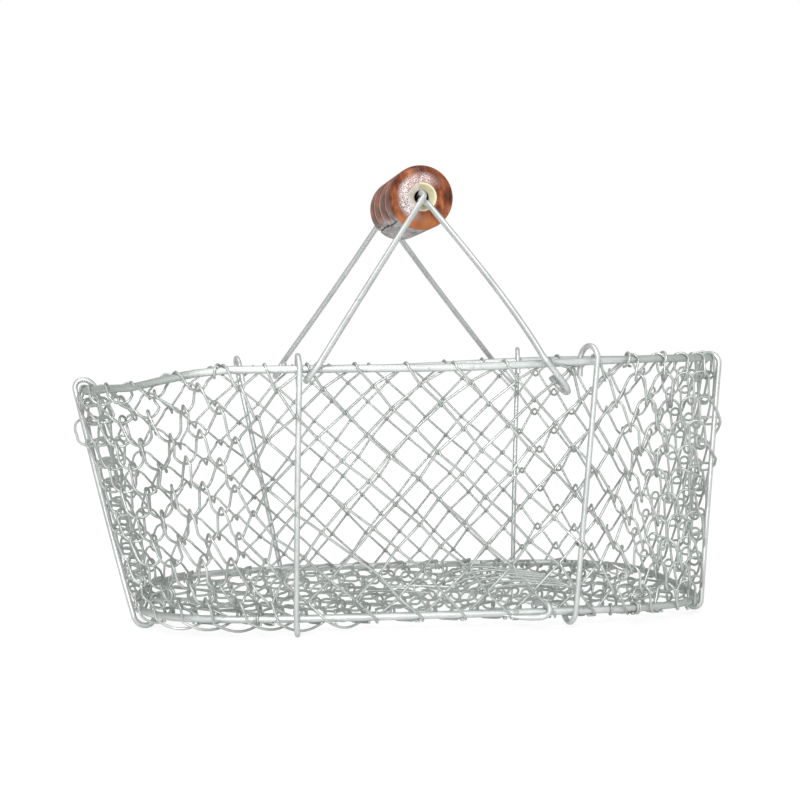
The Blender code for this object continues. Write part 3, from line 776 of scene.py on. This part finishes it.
def make_floor_bundles():
    """Slack strands that lie together on the floor, and the two straight edge wires beside them."""
    for index in range(6):
        left = Vector((0.036 + 0.004 * index, 0.024 - 0.0125 * index, foot_drop + floor_half_depth + 0.0006))
        right = left + Vector((0.062 - 0.003 * index, -0.004, -0.0004))
        crest = left.lerp(right, 0.35 + 0.04 * (index % 3)) + Vector((0, 0.002, 0.0050 - 0.0007 * index))
        route = bent([left - Vector((0.006, 0.003, 0.003)), left, crest, right, right + Vector((0.008, -0.002, -0.003))],
                     0.014, 40)
        wire("floor_bundle_%d" % (index + 1), route, mesh_wire, "galvanised_mesh", "basket")
    level = foot_drop + floor_half_depth + mesh_wire
    for name, start, end in (("edge_wire_1", (-0.0101, -0.0288), (0.0309, -0.0399)),
                             ("edge_wire_2", (-0.0227, -0.0437), (0.0113, -0.0605))):
        corners = [Vector((*start, level)), Vector((*end, level))]
        middle = corners[0].lerp(corners[1], 0.5) + Vector((0, 0.0006, 0.0006))
        wire(name, bent([corners[0], middle, corners[1]], 0.01, 24), mesh_wire, "galvanised_mesh", "basket")


# Stays
def stay_route(top_station, foot_station, hook_rise, tail_skew, foot_radius, foot_lift, foot_skew):
    """Over the rim, down outside the netting and under the base ring."""
    radius = stay_hook_radius
    top = rim_height + hook_rise
    foot = stay_hook_radius + stay_wire / 2 - foot_drop + foot_lift
    turn = numpy.linspace(0, pi, arc_steps + 1)
    run = numpy.linspace(0, 1, arc_steps + 1)[1:-1]
    skew = tail_skew / rim_length
    heights = [top - stay_tail], top + radius * numpy.sin(turn), top + (foot - top) * run
    depths = [-radius], -radius * numpy.cos(turn), radius + (foot_radius - radius) * run
    places = [top_station + skew], top_station + skew * (1 - turn / pi), top_station + (foot_station - top_station) * run
    heights = numpy.concatenate([*heights, foot - foot_radius * numpy.sin(turn), [foot + foot_tail]])
    depths = numpy.concatenate([*depths, foot_radius * numpy.cos(turn), [-foot_radius]])
    places = numpy.concatenate([*places, foot_station + foot_skew / rim_length * turn / pi,
                                [foot_station + foot_skew / rim_length]])
    return wall(places, heights, depths)


def make_stays():
    """Six stays, hooked over the rim and under the base ring."""
    for name, values in stays.items():
        wire(name + "_wire", stay_route(*values), stay_wire, "galvanised_steel", "basket", (name,))


# Handle
def filleted(corners, radii, steps=arc_steps):
    """The polyline with an arc of the given radius at each inner corner."""
    path = [corners[0]]
    for before, corner, after, radius in zip(corners, corners[1:], corners[2:], radii):
        back, ahead = (before - corner).normalized(), (after - corner).normalized()
        half_angle = back.angle(ahead) / 2
        cut = min(radius / tan(half_angle), (before - corner).length / 2, (after - corner).length / 2)
        centre = corner + (back + ahead).normalized() * (cut / cos(half_angle))
        start, end = corner + back * cut - centre, corner + ahead * cut - centre
        sweep = start.angle(end)
        for share in numpy.linspace(0, 1, steps + 1):
            path.append(centre + (start * sin((1 - share) * sweep) + end * sin(share * sweep)) / sin(sweep))
    path.append(corners[-1])
    return path


def bail_foot(station, sign, slack, lean, tail, curled=False):
    """From the tail inside the rim, under it, and up to the shoulder outside it."""
    radius = bail_hook_radius
    centre = rim_height - bail_seat - slack + radius
    bend = numpy.linspace(pi, 2 * pi, arc_steps + 1)
    heights, depths = centre + radius * numpy.sin(bend), radius * numpy.cos(bend)
    if curled:
        rise = 2 * bail_seat + slack + touch_gap - radius
        roll = pi * numpy.linspace(0.45, 1, arc_steps + 1)[:-1]
        heights = numpy.concatenate([centre + rise * numpy.sin(roll), heights])
        depths = numpy.concatenate([radius * numpy.cos(roll), depths])
    else:
        heights = numpy.concatenate([[centre + tail], heights])
        depths = numpy.concatenate([[-radius], depths])
    heights = numpy.append(heights, max(centre, rim_height) + 0.003)
    depths = numpy.append(depths, radius)
    shift = sign * lean * (rim_height - heights) / rim_length
    return [Vector(point) for point in wall(station + shift, heights, depths)]


def bowed(start, end, bow):
    """Points between two corners, bowed sideways."""
    return [start.lerp(end, share) + bow * sin(pi * share ** 0.8) for share in numpy.linspace(0, 1, 13)[1:-1]]


def make_bail(name, near, far, height_offset, overhang, near_bend, far_bend, bows):
    """One bail, from its near hook through the grip to its far hook."""
    exit_y = grip_length / 2 + overhang
    near_exit = grip_centre + Vector((-near_exit_lean, -exit_y, height_offset))
    far_exit = grip_centre + Vector((0, exit_y, height_offset))
    near_bore = grip_centre + Vector((0, -grip_length / 2 + 0.004, height_offset))
    corners = [near[-2], near[-1], near_exit + near_bend, near_exit, near_bore]
    corners += [far_exit, far_exit + far_bend, far[-1], far[-2]]
    middle = filleted(corners, [0.008, 0.0045, 0.0045, 0.02, 0.0045, 0.0045, 0.008])
    first, last = arc_steps + 2, len(middle) - arc_steps - 2
    near_leg = bowed(middle[first - 1], middle[first], bows[0])
    far_leg = bowed(middle[last - 1], middle[last], bows[1])
    middle = middle[:first] + near_leg + middle[first:last] + far_leg + middle[last:]
    wire(name + "_wire", near[:-2] + middle + far[:-2][::-1], bail_wire, "galvanised_steel", "handle", (name,))


def make_bails():
    """The left bail lies on top of the right one in the grip, and its legs bend further out."""
    near_left = station_at(rim_plan, -0.0640 + rim_shift, True)
    far_left = station_at(rim_plan, -0.0633 + rim_shift, False)
    near_right = station_at(rim_plan, 0.0658 + rim_shift, True)
    far_right = station_at(rim_plan, 0.0905 + rim_shift, False)
    make_bail("bail_wire_left", bail_foot(near_left, 1, 0.0022, -0.8, 0.002),
              bail_foot(far_left, -1, 0.0006, -0.8, 0, curled=True), bail_offset, 0.0074,
              Vector((0.0012, -bail_wire, -0.0022)), Vector((-0.005, bail_wire, 0)),
              (Vector((-0.0002, 0, 0)), Vector((0.0009, 0, 0))))
    make_bail("bail_wire_right", bail_foot(near_right, 1, 0.0125, 0.8, 0.002),
              bail_foot(far_right, -1, 0.0125, 0.8, 0.002), -bail_offset, 0.0050,
              Vector((0.0042, -bail_wire, -0.0036)), Vector((-0.001, bail_wire, -0.011)),
              (Vector((0.0026, 0, 0)), Vector((-0.0007, 0, 0))))


def grip_outline():
    """Half section of the grip: radius and place along it, from the near bore edge and back inside."""
    half = grip_length / 2
    inner = countersink_radius + 0.0006
    dome = numpy.linspace(0, pi / 2, 33)
    radius = inner + (grip_radius - inner) * numpy.sin(dome)
    place = half - grip_dome + grip_dome * numpy.cos(dome)
    turned = smooth((radius - inner) / 0.001) * smooth((0.0155 - radius) / 0.002)
    place = place - turned * lathe_depth * (1 + numpy.cos(2 * pi * radius / lathe_pitch)) / 2
    along = numpy.linspace(half - grip_dome, grip_dome - half, 141)[1:-1]
    beads = numpy.full_like(along, grip_radius)
    for groove in (-grip_length / 4, 0, grip_length / 4):
        beads -= groove_depth * (1 + numpy.cos(pi * numpy.clip((along - groove) / groove_half, -1, 1))) / 2
    cone = numpy.array([countersink_radius, 0.0060, bore_radius + 0.0004, bore_radius, bore_radius])
    depth = numpy.array([0.0006, 0.0022, 0.0038, 0.0046, 0.008])
    radii = numpy.concatenate([radius, beads, radius[::-1], cone, cone[::-1]])
    places = numpy.concatenate([place, along, -place[::-1], depth - half, half - depth[::-1]])
    return radii, places


def make_grip():
    """The grip: a turned roll with four beads, a countersunk bore and a crack along its underside."""
    radii, places = grip_outline()
    turns = numpy.linspace(0, 2 * pi, grip_sides, endpoint=False)
    radius = numpy.repeat(radii[:, None], grip_sides, axis=1)
    place = numpy.repeat(places[:, None], grip_sides, axis=1)
    wobble = crack_wander * (numpy.sin(130 * place) + 0.5 * numpy.sin(410 * place + 1))
    across = radius * numpy.sin(turns - crack_turn) + wobble
    cracked = numpy.exp(-(across / crack_width) ** 2) * (numpy.cos(turns - crack_turn) > 0)
    cracked = cracked * (radius > 0.016) * (place > -0.037)
    radius = radius - crack_depth * cracked
    points = numpy.stack([radius * numpy.cos(turns), place, radius * numpy.sin(turns)], axis=-1)
    rows = len(radii)
    index = numpy.arange(rows * grip_sides).reshape(rows, grip_sides)
    below, right = numpy.roll(index, -1, axis=0), numpy.roll(index, -1, axis=1)
    faces = numpy.stack([index, right, numpy.roll(below, -1, axis=1), below], axis=-1).reshape(-1, 4)
    mesh = bpy.data.meshes.new("grip_turning")
    mesh.from_pydata(points.reshape(-1, 3).tolist(), [], faces.tolist())
    mesh.polygons.foreach_set("use_smooth", [True] * len(mesh.polygons))
    mesh.attributes.new("crack", "FLOAT", "POINT").data.foreach_set("value", cracked.ravel())
    item = bpy.data.objects.new("grip_turning", mesh)
    item.location = grip_centre
    finished(item, "varnished_wood", "grip", ("grip",))


make_rings()
make_lap()
make_bindings()
make_side_netting()
make_curls()
make_floor_netting()
make_floor_bundles()
make_stays()
make_bails()
make_grip()


# Stage
def floor_material():
    """A pale floor that is lifted to white for the camera and keeps half of its shadows."""
    material, tree, shader, coordinates = new_material("studio_floor")
    shader.inputs["Base Color"].default_value = (0.92, 0.92, 0.92, 1)
    shader.inputs["Roughness"].default_value = 0.9
    path = tree.nodes.new("ShaderNodeLightPath")
    glow = add(tree, "ShaderNodeEmission", Strength=1.14)
    mix = tree.nodes.new("ShaderNodeMixShader")
    tree.links.new(maths(tree, "MULTIPLY", path.outputs["Is Camera Ray"], 0.68), mix.inputs[0])
    tree.links.new(shader.outputs[0], mix.inputs[1])
    tree.links.new(glow.outputs[0], mix.inputs[2])
    tree.links.new(mix.outputs[0], tree.nodes["Material Output"].inputs["Surface"])
    return material


def make_stage():
    """A pale floor under an even light."""
    mesh = bpy.data.meshes.new("studio_floor")
    reach = 6.0
    mesh.from_pydata([(-reach, -reach, 0), (reach, -reach, 0), (reach, reach, 0), (-reach, reach, 0)],
                     [], [(0, 1, 2, 3)])
    item = bpy.data.objects.new("studio_floor", mesh)
    mesh.materials.append(floor_material())
    bpy.context.scene.collection.objects.link(item)


def make_world():
    """White to the camera, and a soft grey room to everything else."""
    world = bpy.data.worlds.new("studio")
    bpy.context.scene.world = world
    world.use_nodes = True
    tree = world.node_tree
    background = tree.nodes["Background"]
    path = tree.nodes.new("ShaderNodeLightPath")
    colour = mixed(tree, path.outputs["Is Camera Ray"], (0.5, 0.5, 0.5, 1), (1, 1, 1, 1))
    tree.links.new(colour, background.inputs["Color"])


def make_light(name, kind, place, target, energy, size, colour=(1, 1, 1)):
    """A light at a place, turned to a target."""
    light = bpy.data.lights.new(name, kind)
    light.energy = energy
    light.color = colour
    if kind == "AREA":
        light.shape = "DISK"
        light.size = size
    else:
        light.angle = size
    item = bpy.data.objects.new(name, light)
    item.location = place
    item.rotation_euler = (Vector(target) - Vector(place)).to_track_quat("-Z", "Y").to_euler()
    bpy.context.scene.collection.objects.link(item)


def make_camera():
    """The photograph's viewpoint: a little left of the middle, level with the rim."""
    yaw, pitch, roll = radians(8.897), radians(-1.696), radians(-0.585)
    forward = Vector((sin(yaw) * cos(pitch), cos(yaw) * cos(pitch), sin(pitch)))
    right = Vector((cos(yaw), -sin(yaw), 0))
    up = right.cross(forward)
    across = right * cos(roll) + up * sin(roll)
    upright = up * cos(roll) - right * sin(roll)
    camera = bpy.data.cameras.new("camera")
    camera.sensor_width = 36
    camera.lens = 72
    camera.clip_end = 30
    item = bpy.data.objects.new("camera", camera)
    turning = Matrix((across, upright, -forward)).transposed().to_4x4()
    item.matrix_world = Matrix.Translation((-0.15216, -0.99991, 0.15984)) @ turning
    bpy.context.scene.collection.objects.link(item)
    bpy.context.scene.camera = item


make_stage()
make_world()
make_light("key", "AREA", (-0.35, -1.35, 0.55), (0, 0, 0.12), 14, 0.35)
make_light("fill", "AREA", (1.3, -0.9, 0.9), (0, 0, 0.12), 4, 1.2)
make_light("sun", "SUN", (-0.3, -0.5, 2.0), (0, 0, 0), 1.1, radians(35))
make_camera()
bpy.context.scene.view_settings.view_transform = "Standard"
